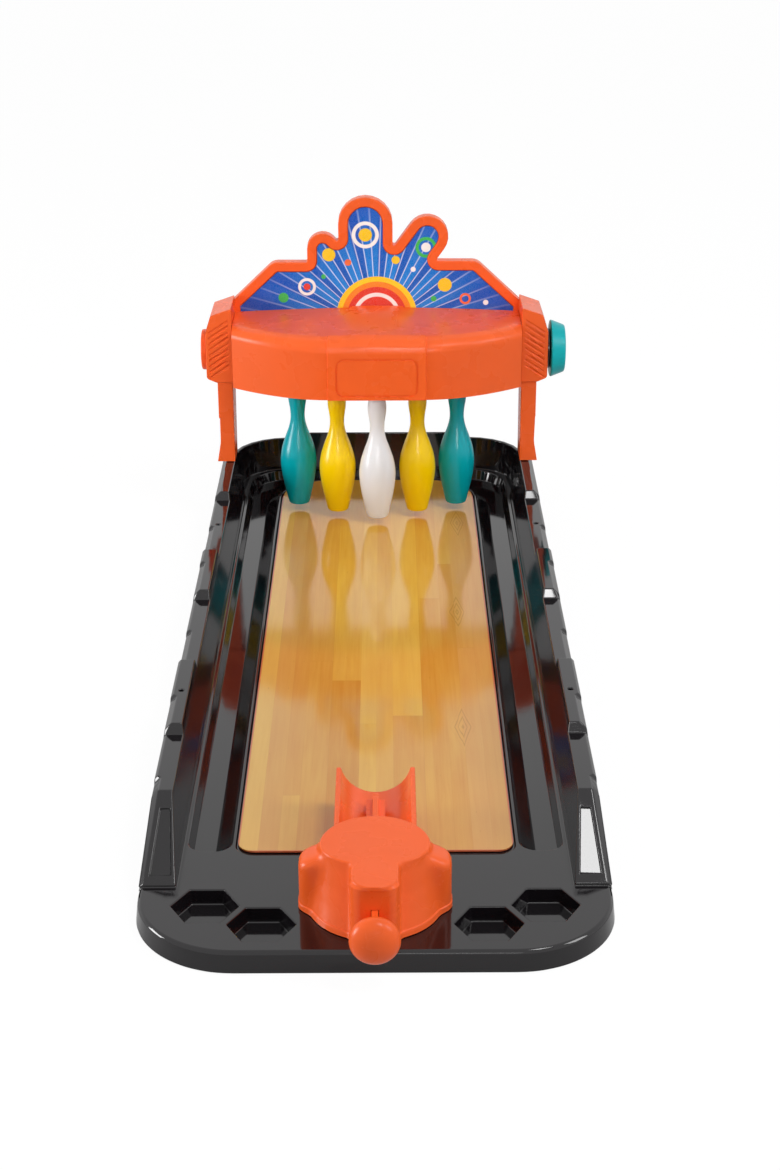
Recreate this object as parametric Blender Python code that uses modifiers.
"""Tabletop bowling game: a moulded tray with a lane, hanging pins and a spring launcher.

Metres, +Z up. The origin is on the table, in the middle of the tray. The player sits at -Y.
"""

from math import cos, pi, radians, sin, sqrt

import bmesh
import bpy
from mathutils import Matrix, Vector

OBJECT_NAME = "tabletop_bowling_game"

# Clearances
SEAT_GAP = 0.0003
RUNNING_GAP = 0.0001
CUT_OVERRUN = 0.002
MERGE_GAP = 0.00001

# Tray
TRAY_LENGTH = 0.588
TRAY_WIDTH = 0.205
SKIRT_DRAFT = 0.001
RIM_CHAMFER = 0.0012
FRONT_CORNER_RADIUS = 0.044
BACK_CORNER_RADIUS = 0.040
DECK_HEIGHT = 0.010
DECK_THICKNESS = 0.0032
TRAY_WALL = 0.0022
RIB_THICKNESS = 0.0016
RIB_FOOT_GAP = 0.0006
CROSS_RIB_SHARES = (0.24, 0.36, 0.64, 0.76, 0.88)
CENTRE_FOOT_RADIUS = 0.009

# Lane
LANE_START = 0.0795
LANE_FROM_BACK = 0.033
LANE_FRONT_RADIUS = 0.008
LANE_BACK_RADIUS = 0.031
LANE_SHEET_THICKNESS = 0.0009
RECESS_SIDE_CLEARANCE = 0.0008
RECESS_FRONT_CLEARANCE = 0.0032

# Gutters, which join behind the lane
SHOULDER_WIDTH = 0.0024
GUTTER_WIDTH = 0.0199
GUTTER_BACK_WIDTH = 0.0191
GUTTER_DEPTH = 0.0065
GUTTER_LANE_SLOPE = 0.0076
GUTTER_OUTER_SLOPE = 0.0020
GUTTER_END_RADIUS = 0.008
GUTTER_END_SHARE = 0.9
GUTTER_BACK_RADIUS = 0.028
GUTTER_FLOOR_WALL = 0.0018

# Walls round the lane
WALL_LEDGE = 0.002
BACK_WALL_LEDGE = 0.0006
WALL_START = 0.0495
WALL_FROM_BACK = 0.063
WALL_LOW = 0.028
WALL_HIGH = 0.033
WALL_BASE_WIDTH = 0.0159
WALL_RIM_STEP = 0.0001
WALL_LEAN_SHARES = (0.136, -0.091)
WALL_SHOULDER_DROP = 0.0015
WALL_WIDE_SHOULDER = 0.0032
WALL_SLIM_SHOULDER = 0.0014
WALL_STEP_RUN = 0.002
WALL_STEP_SHARES = (0.187, 0.337, 0.516, 0.642, 0.832)
WALL_JOG_SHARES = (0.10, 0.25, 0.43, 0.60, 0.74)
BACK_WALL_HEIGHT = 0.021
BACK_WALL_RAISED = 0.0245
BACK_WALL_LOW_RUN = 0.0145
BACK_WALL_WIDTH = 0.005
BACK_WALL_LEAN_SHARES = (0.143, 0.067)
BACK_WALL_RADIUS = 0.030
BACK_WALL_OFFSET = 0.004
WALL_SCREW_RADIUS = 0.0013
WALL_SCREW_DEPTH = 0.006
WALL_SCREW_SHARES = (0.264, 0.748)
WEDGE_SHARE = 0.076
WEDGE_PANEL_SHARES = (0.16, 0.80)
WEDGE_PANEL_DEPTH = 0.0004
WEDGE_PANEL_OUTER_DEPTH = 0.0012
WEDGE_PANEL_MARGIN = 0.0035

# Ball cups
CUP_RADIUS = 0.015
CUP_FLOOR_RADIUS = 0.0137
CUP_DEPTH = 0.007
CUP_FLOOR_WALL = 0.0016
OUTER_CUP_INSET = 0.0296
OUTER_CUP_START = 0.035
INNER_CUP_INSET = 0.0546
INNER_CUP_START = 0.0207

# Side frames, each a post with a ribbed head
FRAME_FROM_BACK = 0.088
POST_DEPTH = 0.022
POST_INSET = 0.0125
POST_WIDTH = 0.0100
POST_FOOT_FLARE = 0.0017
POST_FOOT_HEIGHT = 0.013
POST_STEP = 0.0006
POST_STEP_HEIGHT = 0.062
HEAD_BELOW_SHAFT = 0.0165
HEAD_ABOVE_SHAFT = 0.0265
HEAD_WIDTH = 0.0165
HEAD_DEPTH = 0.0334
HEAD_LEAD = 0.0012
HEAD_CORNER = 0.0055
HEAD_TOP_SLOPE = 0.0045
HEAD_RIB_COUNT = 9
HEAD_RIB_PITCH = 0.0036
HEAD_RIB_WIDTH = 0.0015
HEAD_RIB_DEPTH = 0.0006
HEAD_RIB_LENGTH = 0.0145
HEAD_RIB_ANGLE = radians(33)

# Screws from below into the posts
FRAME_SCREW_SEAT = 0.034
FRAME_SCREW_LENGTH = 0.018
FRAME_SCREW_INSET = 0.0055
FRAME_SCREW_SINK = 0.0004
WALL_CORE_SHARES = (0.06, 0.93)

# Header hood
HOOD_FROM_BACK = 0.1215
HOOD_BULGE = 0.0255
HOOD_CURVE = 1.8
HOOD_BELOW_SHAFT = 0.0179
HOOD_CREASE_ABOVE_SHAFT = 0.0121
HOOD_CREASE_RISE = 0.0025
HOOD_BAND_DEPTH = 0.0085
HOOD_BAND_HEIGHT = 0.009
HOOD_REAR_ABOVE_SHAFT = 0.0237
HOOD_CROWN = 0.0028
HOOD_WALL = 0.0022
HOOD_FACET_SHARE = 0.3345
HOOD_FACET_REAR_SHARE = 0.1828
HOOD_FACET_STEP = 0.0007
HOOD_STATION_SHARES = (0, 0.17, 0.335, 0.345, 0.43, 0.52, 0.61, 0.70, 0.79, 0.87, 0.94, 1)
HOOD_BAND_SHARES = ((0, 0), (0.12, 0.42), (0.48, 0.80), (1, 1))
PLATE_SIDE_MARGIN = 0.0048
PLATE_BELOW_SHAFT = 0.0157
PLATE_ABOVE_SHAFT = 0.0085
PLATE_CORNER = 0.0052
PLATE_GROOVE = 0.0011
PLATE_GROOVE_DEPTH = 0.0006

# Header back and backboard
BACKBOARD_FROM_BACK = 0.0555
BACKBOARD_OVERHANG = 0.0025
BACKBOARD_ABOVE_SHAFT = 0.0105
BACKBOARD_THICKNESS = 0.0085
BACKBOARD_RIM = 0.006
PRINT_THICKNESS = 0.0007
PRINT_RECESS = 0.0016
HEADER_BACK_BELOW_SHAFT = 0.0045
HEADER_BACK_THICKNESS = 0.002

# The backboard's outline: centre, radius and turn of each arc, as shares of its half-width
BACKBOARD_ARC_SHARES = (
    (-0.968, 0.151, 0.032, 180, 135),
    (-0.670, 0.357, 0.087, 135, 90),
    (-0.482, 0.454, 0.011, 270, 360),
    (-0.365, 0.535, 0.106, 180, 50),
    (-0.269, 0.603, 0.011, 230, 360),
    (-0.075, 0.702, 0.184, 180, 0),
    (0.120, 0.569, 0.011, 180, 324),
    (0.344, 0.616, 0.142, 144, -35),
    (0.421, 0.461, 0.011, 145, 270),
    (0.649, 0.362, 0.087, 90, 47),
    (0.968, 0.141, 0.032, 47, 0),
)

# Pins and their rack
CENTRE_PIN_FROM_BACK = 0.109
INNER_PIN_FROM_BACK = 0.097
OUTER_PIN_FROM_BACK = 0.084
PIN_BELLY_SHARE = 0.095
PIN_BASE_GAP = 0.0035
PIN_LUG_WIDTH = 0.0040
PIN_LUG_RADIUS = 0.0034
PIN_PIVOT_RISE = 0.0085
PIVOT_BELOW_SHAFT = 0.0075
AXLE_RADIUS = 0.0015
AXLE_LENGTH = 0.0135
RACK_EAR_WIDTH = 0.0020
RACK_EAR_GAP = 0.0006
RACK_EAR_RADIUS = 0.0036
RACK_RISE = 0.0085
RACK_THICKNESS = 0.003
RACK_MARGIN = 0.0040
RACK_BEAM_DEPTH = 0.009

# A pin's half outline: height and radius, as shares of its height and of its belly's radius
PIN_PROFILE_SHARES = (
    (1.000, 0.000),
    (0.992, 0.200),
    (0.955, 0.400),
    (0.900, 0.495),
    (0.840, 0.480),
    (0.770, 0.400),
    (0.700, 0.385),
    (0.630, 0.460),
    (0.560, 0.640),
    (0.470, 0.880),
    (0.360, 1.000),
    (0.250, 0.950),
    (0.100, 0.730),
    (0.012, 0.560),
    (0.000, 0.420),
    (0.000, 0.000),
)

# Reset knob and shaft
SHAFT_FROM_BACK = 0.071
SHAFT_HEIGHT = 0.1025
SHAFT_RADIUS = 0.003
CAM_REACH = 0.0055
CAM_WIDTH = 0.004
CAM_TIP_RADIUS = 0.0014
COLLAR_RADIUS = 0.0125
COLLAR_THICKNESS = 0.0018
KNOB_RADIUS = 0.0179
KNOB_FACE_RADIUS = 0.0148
KNOB_THICKNESS = 0.0092
KNOB_EDGE = 0.0006
KNOB_BORE_DEPTH = 0.006
HUB_RADIUS = 0.0127
HUB_THICKNESS = 0.0034
HUB_BORE_DEPTH = 0.002

# Launcher
PIVOT_START = 0.036
LAUNCHER_TOP = 0.030
DISC_INSET = 0.0024
SKIRT_OVERHANG = 0.0026
COVER_WALL = 0.0022
COVER_FOOT_GAP = 0.0004
NECK_HALF_WIDTH = 0.0095
NECK_OVERHANG = 0.0091
NECK_THICKNESS = 0.0045
NECK_CORNER = 0.004
NECK_DROP = 0.0001
NECK_TOP_SHARE = 0.96
SPOUT_HALF_WIDTH = 0.0104
SPOUT_OVERHANG = 0.0046
SPOUT_LAP = 0.0034
SPOUT_SCOOP_RADIUS = 0.013
SPOUT_SCOOP_LEAD = 0.0151
SPOUT_SLOT = 0.0053
EAR_OVERHANG = 0.0066
EAR_LAP = 0.0089
EAR_FRONT = -0.0075
EAR_BACK = 0.0085
EAR_TOP = 0.0210
EAR_RISE = 0.0060
EAR_ROUND = 0.0062
EAR_EDGE_SHARES = ((0, 0), (0.12, 0.55), (0.45, 0.88), (1, 1))
LUG_THICKNESS = 0.002
LUG_START_SHARE = 0.8
BASE_RADIUS = 0.0259
SPINDLE_RADIUS = 0.005
FRONT_WALL_SETBACK = 0.0064
FRONT_WALL_HALF = 0.0085
FRONT_WALL_TOP = 0.0195
CRADLE_WALL = 0.0025
TROUGH_LAP = 0.0021
TROUGH_LENGTH = 0.0572
TROUGH_RADIUS = 0.0157
TROUGH_WALL = 0.0028
TROUGH_FLOOR = 0.0080
RAIL_TOP = 0.022
REAR_WALL_LAP = 0.0019
PEDESTAL_HALF_WIDTH = 0.0035
PEDESTAL_LENGTH = 0.0010
WASHER_RADIUS = 0.008
WASHER_THICKNESS = 0.0012
SCREW_RADIUS = 0.0014
SCREW_HEAD_RADIUS = 0.0032
SCREW_HEAD_HEIGHT = 0.0018
PIVOT_SCREW_LENGTH = 0.0045
COVER_SCREW_LENGTH = 0.009
COVER_SCREW_HEAD_RADIUS = 0.0024
COVER_SCREW_HEAD_HEIGHT = 0.0010

# The cover's half outline: height and radius, as shares of its height and of its flare
COVER_FLARE_SHARES = ((0.97, 0.0), (0.86, 0.06), (0.55, 0.30), (0.30, 0.62), (0.10, 0.93), (0.02, 1.0))

# Plunger
ROD_HEIGHT = 0.013
ROD_FIN_REACH = 0.0043
ROD_TALL_FIN = 0.0028
ROD_FLAT_FIN = 0.0018
ROD_FRONT = -0.0342
ROD_BACK = 0.0655
ROD_COLLAR_RADIUS = 0.0065
ROD_COLLAR_LENGTH = 0.002
ROD_SPIGOT_RADIUS = 0.0025
ROD_SPIGOT_LENGTH = 0.008
BALL_KNOB_RADIUS = 0.0106
BALL_KNOB_Y = -0.045
SPRING_RADIUS = 0.0056
SPRING_WIRE_RADIUS = 0.0005
SPRING_TURNS = 8
SPRING_POINTS_PER_TURN = 9

# Facets
ARC_STEP = radians(15)
SMALL_ARC_STEP = radians(40)
TURN_STEPS = 20
ROUND_STEPS = 36
BORE_STEPS = 16
AXLE_STEPS = 12

# Places worked out from the sizes above
DISC_RADIUS = BASE_RADIUS - DISC_INSET
SKIRT_RADIUS = BASE_RADIUS + SKIRT_OVERHANG
NECK_REACH = BASE_RADIUS + NECK_OVERHANG
SPOUT_FRONT = -BASE_RADIUS - SPOUT_OVERHANG
SPOUT_BACK = SPOUT_LAP - BASE_RADIUS
SPOUT_SCOOP_Y = -BASE_RADIUS - SPOUT_SCOOP_LEAD
EAR_REACH = BASE_RADIUS + EAR_OVERHANG
EAR_INNER = BASE_RADIUS - EAR_LAP
FRONT_WALL_Y = FRONT_WALL_SETBACK - BASE_RADIUS
TROUGH_START = BASE_RADIUS - TROUGH_LAP
TROUGH_END = TROUGH_START + TROUGH_LENGTH
REAR_WALL_Y = BASE_RADIUS - REAR_WALL_LAP
FRONT_Y = -TRAY_LENGTH / 2
BACK_Y = TRAY_LENGTH / 2
HALF_WIDTH = TRAY_WIDTH / 2
LANE_FRONT_Y = FRONT_Y + LANE_START
LANE_BACK_Y = BACK_Y - LANE_FROM_BACK
RECESS_DEPTH = LANE_SHEET_THICKNESS + SEAT_GAP
WALL_INNER_HALF = HALF_WIDTH - WALL_RIM_STEP - WALL_BASE_WIDTH
GUTTER_HALF = WALL_INNER_HALF - WALL_LEDGE
ISLAND_HALF = GUTTER_HALF - GUTTER_WIDTH
LANE_WIDTH = 2 * (ISLAND_HALF - SHOULDER_WIDTH)
ISLAND_BACK_Y = LANE_BACK_Y + SHOULDER_WIDTH
GUTTER_BACK_Y = ISLAND_BACK_Y + GUTTER_BACK_WIDTH
WALL_BACK_Y = GUTTER_BACK_Y + BACK_WALL_LEDGE
WALL_FRONT_Y = FRONT_Y + WALL_START
WALL_LENGTH = BACK_Y - WALL_FROM_BACK - WALL_FRONT_Y
BACK_WALL_CORNER_X = WALL_INNER_HALF + BACK_WALL_OFFSET - BACK_WALL_RADIUS
BACK_WALL_RAISED_HALF = BACK_WALL_CORNER_X - BACK_WALL_LOW_RUN
OUTER_CUP_X = HALF_WIDTH - OUTER_CUP_INSET
INNER_CUP_X = HALF_WIDTH - INNER_CUP_INSET
POST_INNER_X = HALF_WIDTH - POST_INSET
FRAME_SCREW_X = POST_INNER_X + FRAME_SCREW_INSET
FRAME_Y = BACK_Y - FRAME_FROM_BACK
HEAD_Y = FRAME_Y - HEAD_LEAD
HEAD_OUTER_X = POST_INNER_X + HEAD_WIDTH
SHAFT_Y = BACK_Y - SHAFT_FROM_BACK
SHAFT_Z = DECK_HEIGHT + SHAFT_HEIGHT
HEAD_BOTTOM = SHAFT_HEIGHT - HEAD_BELOW_SHAFT
HEAD_TOP = SHAFT_HEIGHT + HEAD_ABOVE_SHAFT
HOOD_HALF = POST_INNER_X - SEAT_GAP
HOOD_Y = BACK_Y - HOOD_FROM_BACK
HOOD_BOTTOM = SHAFT_HEIGHT - HOOD_BELOW_SHAFT
HOOD_CREASE = SHAFT_HEIGHT + HOOD_CREASE_ABOVE_SHAFT
HOOD_REAR_HEIGHT = SHAFT_HEIGHT + HOOD_REAR_ABOVE_SHAFT
HOOD_FACET_HALF = HOOD_HALF * HOOD_FACET_SHARE
HOOD_FACET_REAR_HALF = HOOD_HALF * HOOD_FACET_REAR_SHARE
PLATE_HALF_WIDTH = HOOD_FACET_HALF - PLATE_SIDE_MARGIN
PLATE_BOTTOM = SHAFT_HEIGHT - PLATE_BELOW_SHAFT
PLATE_TOP = SHAFT_HEIGHT + PLATE_ABOVE_SHAFT
HEADER_BACK_BOTTOM = SHAFT_HEIGHT - HEADER_BACK_BELOW_SHAFT
BACKBOARD_Y = BACK_Y - BACKBOARD_FROM_BACK
BACKBOARD_HALF_WIDTH = POST_INNER_X + BACKBOARD_OVERHANG
BACKBOARD_FOOT = SHAFT_HEIGHT + BACKBOARD_ABOVE_SHAFT
PIVOT = Vector((0, FRONT_Y + PIVOT_START, DECK_HEIGHT))
PIN_PIVOT_Z = SHAFT_Z - PIVOT_BELOW_SHAFT
PIN_HEIGHT = SHAFT_HEIGHT - PIVOT_BELOW_SHAFT - PIN_PIVOT_RISE - PIN_BASE_GAP
PIN_BELLY_RADIUS = LANE_WIDTH * PIN_BELLY_SHARE
PIN_SPACING = (LANE_WIDTH / 2 - PIN_BELLY_RADIUS) / 2
RACK_Z = PIN_PIVOT_Z + RACK_RISE
TROUGH_AXIS_Z = TROUGH_FLOOR + TROUGH_RADIUS
TROUGH_OUTER_RADIUS = TROUGH_RADIUS + TROUGH_WALL


def linear(channel):
    """One sRGB channel, 0 to 255, as a linear value."""
    share = channel / 255
    return share / 12.92 if share <= 0.04045 else ((share + 0.055) / 1.055) ** 2.4


def make_material(name, colour, roughness, metallic=0):
    """A Principled material of the given sRGB colour."""
    material = bpy.data.materials.new(name)
    material.use_nodes = True
    shader = material.node_tree.nodes["Principled BSDF"]
    shader.inputs["Base Color"].default_value = (*[linear(channel) for channel in colour], 1)
    shader.inputs["Roughness"].default_value = roughness
    shader.inputs["Metallic"].default_value = metallic
    return material


def make_finishes():
    """The plastics and metals of the game."""
    return {
        "black": make_material("black_gloss_plastic", (28, 26, 27), 0.15),
        "wood": make_material("maple_print", (217, 174, 108), 0.25),
        "orange": make_material("orange_plastic", (248, 105, 56), 0.35),
        "teal": make_material("teal_plastic", (0, 165, 168), 0.3),
        "yellow": make_material("yellow_plastic", (250, 200, 20), 0.3),
        "white": make_material("white_plastic", (238, 233, 230), 0.3),
        "blue": make_material("blue_print", (10, 90, 200), 0.3),
        "steel": make_material("steel", (190, 190, 195), 0.3, 1),
    }


def make_collections():
    """The part's collection, and another for the cutters."""
    part = bpy.data.collections.new(OBJECT_NAME)
    cutters = bpy.data.collections.new("cutters")
    bpy.context.scene.collection.children.link(part)
    bpy.context.scene.collection.children.link(cutters)
    return part, cutters


class Workshop:
    """Puts each new shape in its collection, with its finish."""

    def __init__(self):
        self.part, self.cutters = make_collections()
        self.finishes = make_finishes()

    def piece(self, name, mesh, finish):
        obj = bpy.data.objects.new(name, mesh)
        mesh.materials.clear()
        mesh.materials.append(self.finishes[finish])
        mesh.shade_smooth()
        mesh.set_sharp_from_angle(angle=radians(30))
        self.part.objects.link(obj)
        return obj

    def cutter(self, name, mesh):
        obj = bpy.data.objects.new(name, mesh)
        obj.hide_render = True
        obj.display_type = "WIRE"
        self.cutters.objects.link(obj)
        return obj


def combine(target, other, operation):
    """Cuts other from target, or joins it on, with an exact Boolean."""
    boolean = target.modifiers.new(f"{operation.lower()}_{other.name}", "BOOLEAN")
    boolean.operation = operation
    boolean.solver = "EXACT"
    boolean.object = other


def cut(target, other):
    combine(target, other, "DIFFERENCE")


def fuse(target, other):
    combine(target, other, "UNION")


def arc(centre_x, centre_y, radius, first, last, step_angle=ARC_STEP):
    """Points of an arc, both ends included. Angles are in radians."""
    steps = max(1, round(abs(last - first) / step_angle))
    turns = [first + (last - first) * step / steps for step in range(steps + 1)]
    return [(centre_x + radius * cos(turn), centre_y + radius * sin(turn)) for turn in turns]


def rounded(corners):
    """The closed outline through (x, y, radius) corners, each one rounded."""
    outline = []
    for index, (x, y, radius) in enumerate(corners):
        corner = Vector((x, y))
        if radius == 0:
            outline.append((x, y))
            continue
        before = (Vector(corners[index - 1][:2]) - corner).normalized()
        after = (Vector(corners[(index + 1) % len(corners)][:2]) - corner).normalized()
        half = before.angle(after) / 2
        centre = corner + (before + after).normalized() * radius / sin(half)
        first = corner + before * radius * cos(half) / sin(half) - centre
        turn = first.angle_signed(corner + after * radius * cos(half) / sin(half) - centre)
        steps = max(1, round(abs(turn) / ARC_STEP))
        for step in range(steps + 1):
            outline.append(tuple(centre + Matrix.Rotation(-turn * step / steps, 2) @ first))
    return outline


def level(outline, height):
    """The outline laid flat at a height."""
    return [Vector((x, y, height)) for x, y in outline]


def loft(name, rings, closed=True):
    """A mesh through rings of as many points each, with its two ends capped when closed."""
    mesh = bpy.data.meshes.new(name)
    shape = bmesh.new()
    rows = [[shape.verts.new(point) for point in ring] for ring in rings]
    count = len(rows[0])
    for lower, upper in zip(rows, rows[1:]):
        for index in range(count):
            following = (index + 1) % count
            shape.faces.new((lower[index], lower[following], upper[following], upper[index]))
    shape.faces.new(rows[0])
    if closed:
        shape.faces.new(rows[-1])
    bmesh.ops.recalc_face_normals(shape, faces=shape.faces)
    shape.to_mesh(mesh)
    shape.free()
    return mesh


def plate(name, outlines, thickness):
    """A flat plate of filled outlines, centred on z = 0. The second outline and the rest are holes."""
    curve = bpy.data.curves.new(name, "CURVE")
    curve.dimensions = "2D"
    curve.fill_mode = "BOTH"
    curve.extrude = thickness / 2
    for outline in outlines:
        spline = curve.splines.new("POLY")
        spline.points.add(len(outline) - 1)
        for point, (x, y) in zip(spline.points, outline):
            point.co = (x, y, 0, 1)
        spline.use_cyclic_u = True
    return mesh_of_curve(name, curve)


def mesh_of_curve(name, curve):
    """The curve's shape as a mesh with welded caps."""
    guide = bpy.data.objects.new(name + "_guide", curve)
    bpy.context.scene.collection.objects.link(guide)
    evaluated = guide.evaluated_get(bpy.context.evaluated_depsgraph_get())
    mesh = bpy.data.meshes.new_from_object(evaluated)
    bpy.data.objects.remove(guide)
    shape = bmesh.new()
    shape.from_mesh(mesh)
    bmesh.ops.remove_doubles(shape, verts=shape.verts, dist=MERGE_GAP)
    bmesh.ops.recalc_face_normals(shape, faces=shape.faces)
    shape.to_mesh(mesh)
    shape.free()
    mesh.name = name
    return mesh


def prism(name, outline, low, high):
    """A flat plate of the outline between two heights."""
    return moved(plate(name, [outline], high - low), 0, 0, (low + high) / 2)


def standing(mesh):
    """Turns a mesh drawn in XY to stand in XZ, with its front towards -Y."""
    mesh.transform(Matrix.Rotation(radians(90), 4, "X"))
    return mesh


def across(mesh):
    """Turns a mesh drawn in XY to stand in YZ, across the X axis."""
    mesh.transform(Matrix.Rotation(radians(90), 4, "Z") @ Matrix.Rotation(radians(90), 4, "X"))
    return mesh


def box(name, low, high):
    """A box between two corners."""
    mesh = bpy.data.meshes.new(name)
    shape = bmesh.new()
    bmesh.ops.create_cube(shape, size=1)
    low, high = Vector(low), Vector(high)
    bmesh.ops.scale(shape, vec=high - low, verts=shape.verts)
    bmesh.ops.translate(shape, vec=(low + high) / 2, verts=shape.verts)
    shape.to_mesh(mesh)
    shape.free()
    return mesh


def rod(name, radius, length, steps=TURN_STEPS, along="Z"):
    """A cylinder centred on the origin."""
    mesh = bpy.data.meshes.new(name)
    shape = bmesh.new()
    turn = {"X": Matrix.Rotation(radians(90), 4, "Y"), "Y": Matrix.Rotation(radians(90), 4, "X")}
    bmesh.ops.create_cone(
        shape,
        cap_ends=True,
        segments=steps,
        radius1=radius,
        radius2=radius,
        depth=length,
        matrix=turn.get(along, Matrix.Identity(4)),
    )
    shape.to_mesh(mesh)
    shape.free()
    return mesh


def joined(name, meshes):
    """Several separate meshes as one, for use as a cutter or in a union."""
    mesh = bpy.data.meshes.new(name)
    shape = bmesh.new()
    for other in meshes:
        shape.from_mesh(other)
    shape.to_mesh(mesh)
    shape.free()
    return mesh


def moved(mesh, x=0, y=0, z=0):
    mesh.transform(Matrix.Translation((x, y, z)))
    return mesh


def turned(shop, name, profile, finish, steps=TURN_STEPS, closed=False):
    """A solid of revolution about Z from (radius, height) points, listed top to bottom."""
    mesh = bpy.data.meshes.new(name)
    edges = [(index, index + 1) for index in range(len(profile) - 1)]
    if closed:
        edges.append((len(profile) - 1, 0))
    mesh.from_pydata([(radius, 0, height) for radius, height in profile], edges, [])
    obj = shop.cutter(name, mesh) if finish is None else shop.piece(name, mesh, finish)
    screw = obj.modifiers.new("turn", "SCREW")
    screw.steps = steps
    screw.render_steps = steps
    screw.use_merge_vertices = True
    screw.merge_threshold = MERGE_GAP
    screw.use_smooth_shade = True
    return obj


def rectangle(left, front, right, back, front_radius, back_radius):
    """A rectangle whose front and back corners are rounded."""
    return rounded(
        [
            (left, front, front_radius),
            (right, front, front_radius),
            (right, back, back_radius),
            (left, back, back_radius),
        ]
    )


def tray_outline(inset):
    """The tray's outline, drawn in by inset."""
    side = HALF_WIDTH - inset
    return rectangle(
        -side,
        FRONT_Y + inset,
        side,
        BACK_Y - inset,
        FRONT_CORNER_RADIUS - inset,
        BACK_CORNER_RADIUS - inset,
    )


def gutter_outline(wall, lane_slope, outer_slope):
    """The U of the two gutters, narrowed by its slopes and widened all round by a wall."""
    outer = GUTTER_HALF - outer_slope + wall
    inner = ISLAND_HALF + lane_slope - wall
    front = LANE_FRONT_Y + outer_slope - wall
    outer_back = GUTTER_BACK_Y - outer_slope + wall
    inner_back = ISLAND_BACK_Y + lane_slope - wall
    end = min(GUTTER_END_RADIUS - outer_slope + wall, GUTTER_END_SHARE * (outer - inner) / 2)
    back = GUTTER_BACK_RADIUS - outer_slope + wall
    island = LANE_BACK_RADIUS + SHOULDER_WIDTH + lane_slope - wall
    right = [(outer, front, end), (outer, outer_back, back)]
    left = [(-x, y, radius) for x, y, radius in reversed(right)]
    around_lane = [
        (-inner, front, end),
        (-inner, inner_back, island),
        (inner, inner_back, island),
        (inner, front, end),
    ]
    return rounded(right + left + around_lane)


def lane_outline(side_clearance, front_clearance):
    """The lane's outline, let out by clearances."""
    side = LANE_WIDTH / 2 + side_clearance
    return rectangle(
        -side,
        LANE_FRONT_Y - front_clearance,
        side,
        LANE_BACK_Y + side_clearance,
        LANE_FRONT_RADIUS + side_clearance,
        LANE_BACK_RADIUS + side_clearance,
    )


def wall_ring(place, outward, height, width, leans, shoulder, skin):
    """The wall's section at one place on its inner foot line, drawn in by a skin."""
    inner_top = leans[0] * height
    outer_top = width + leans[1] * height
    drop = WALL_SHOULDER_DROP * shoulder / WALL_SLIM_SHOULDER
    foot = -TRAY_WALL - skin
    section = [
        (skin, foot),
        (width - skin, foot),
        (width - skin, 0),
        (outer_top - skin, height - drop - skin),
        (outer_top - shoulder - skin, height - skin),
        (inner_top + skin, height - skin),
        (skin, 0),
    ]
    return [
        Vector((place[0] + outward[0] * reach, place[1] + outward[1] * reach, DECK_HEIGHT + rise))
        for reach, rise in section
    ]


def side_wall_levels():
    """(share of the side wall's length, height, shoulder) along it, front to back."""
    run_share = WALL_STEP_RUN / WALL_LENGTH
    height, following = WALL_LOW, WALL_HIGH
    levels = [(WEDGE_SHARE, height, WALL_WIDE_SHOULDER)]
    for jog_share, step_share in zip(WALL_JOG_SHARES, WALL_STEP_SHARES):
        levels.append((jog_share, height, WALL_WIDE_SHOULDER))
        levels.append((jog_share + run_share, height, WALL_SLIM_SHOULDER))
        levels.append((step_share, height, WALL_SLIM_SHOULDER))
        levels.append((step_share + run_share, following, WALL_WIDE_SHOULDER))
        height, following = following, height
    levels.append((1, height, WALL_WIDE_SHOULDER))
    return levels


def side_wall_rings(skin, first_share, last_share):
    """The sections of the right-hand side wall, with its front wedge."""
    levels = [(0, WALL_SHOULDER_DROP, WALL_SLIM_SHOULDER), *side_wall_levels()]
    rings = []
    for share, height, shoulder in levels:
        shown = min(max(share, first_share), last_share)
        place = (WALL_INNER_HALF, WALL_FRONT_Y + shown * WALL_LENGTH)
        rings.append(wall_ring(place, (1, 0), height, WALL_BASE_WIDTH, WALL_LEAN_SHARES, shoulder, skin))
    return rings


def back_wall_rings():
    """The sections of the right half of the back wall, ending open at the middle."""
    radius = BACK_WALL_RADIUS
    centre_x = BACK_WALL_CORNER_X
    centre_y = WALL_BACK_Y - radius
    start = WALL_FRONT_Y + WALL_LENGTH - WALL_STEP_RUN

    def ring(x, y, outward, height):
        return wall_ring(
            (x, y), outward, height, BACK_WALL_WIDTH, BACK_WALL_LEAN_SHARES, WALL_SLIM_SHOULDER, 0
        )

    rings = [ring(centre_x + radius, start, (1, 0), BACK_WALL_HEIGHT)]
    for x, y in arc(0, 0, 1, 0, pi / 2):
        rings.append(ring(centre_x + x * radius, centre_y + y * radius, (x, y), BACK_WALL_HEIGHT))
    raised = BACK_WALL_RAISED_HALF
    for x, height in (
        (raised + WALL_STEP_RUN, BACK_WALL_HEIGHT),
        (raised, BACK_WALL_RAISED),
        (0, BACK_WALL_RAISED),
    ):
        rings.append(ring(x, WALL_BACK_Y, (0, 1), height))
    return rings


def mirror(obj):
    """Completes a half that is open at x = 0."""
    modifier = obj.modifiers.new("mirror", "MIRROR")
    modifier.use_mirror_merge = True
    modifier.merge_threshold = MERGE_GAP
    return modifier


def cup_places():
    """The centre of each ball cup."""
    return [
        (side * x, FRONT_Y + start)
        for side in (-1, 1)
        for x, start in ((OUTER_CUP_X, OUTER_CUP_START), (INNER_CUP_X, INNER_CUP_START))
    ]


def hexagon(centre, radius):
    turns = [pi * step / 3 for step in range(6)]
    return [(centre[0] + radius * cos(turn), centre[1] + radius * sin(turn)) for turn in turns]


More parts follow.
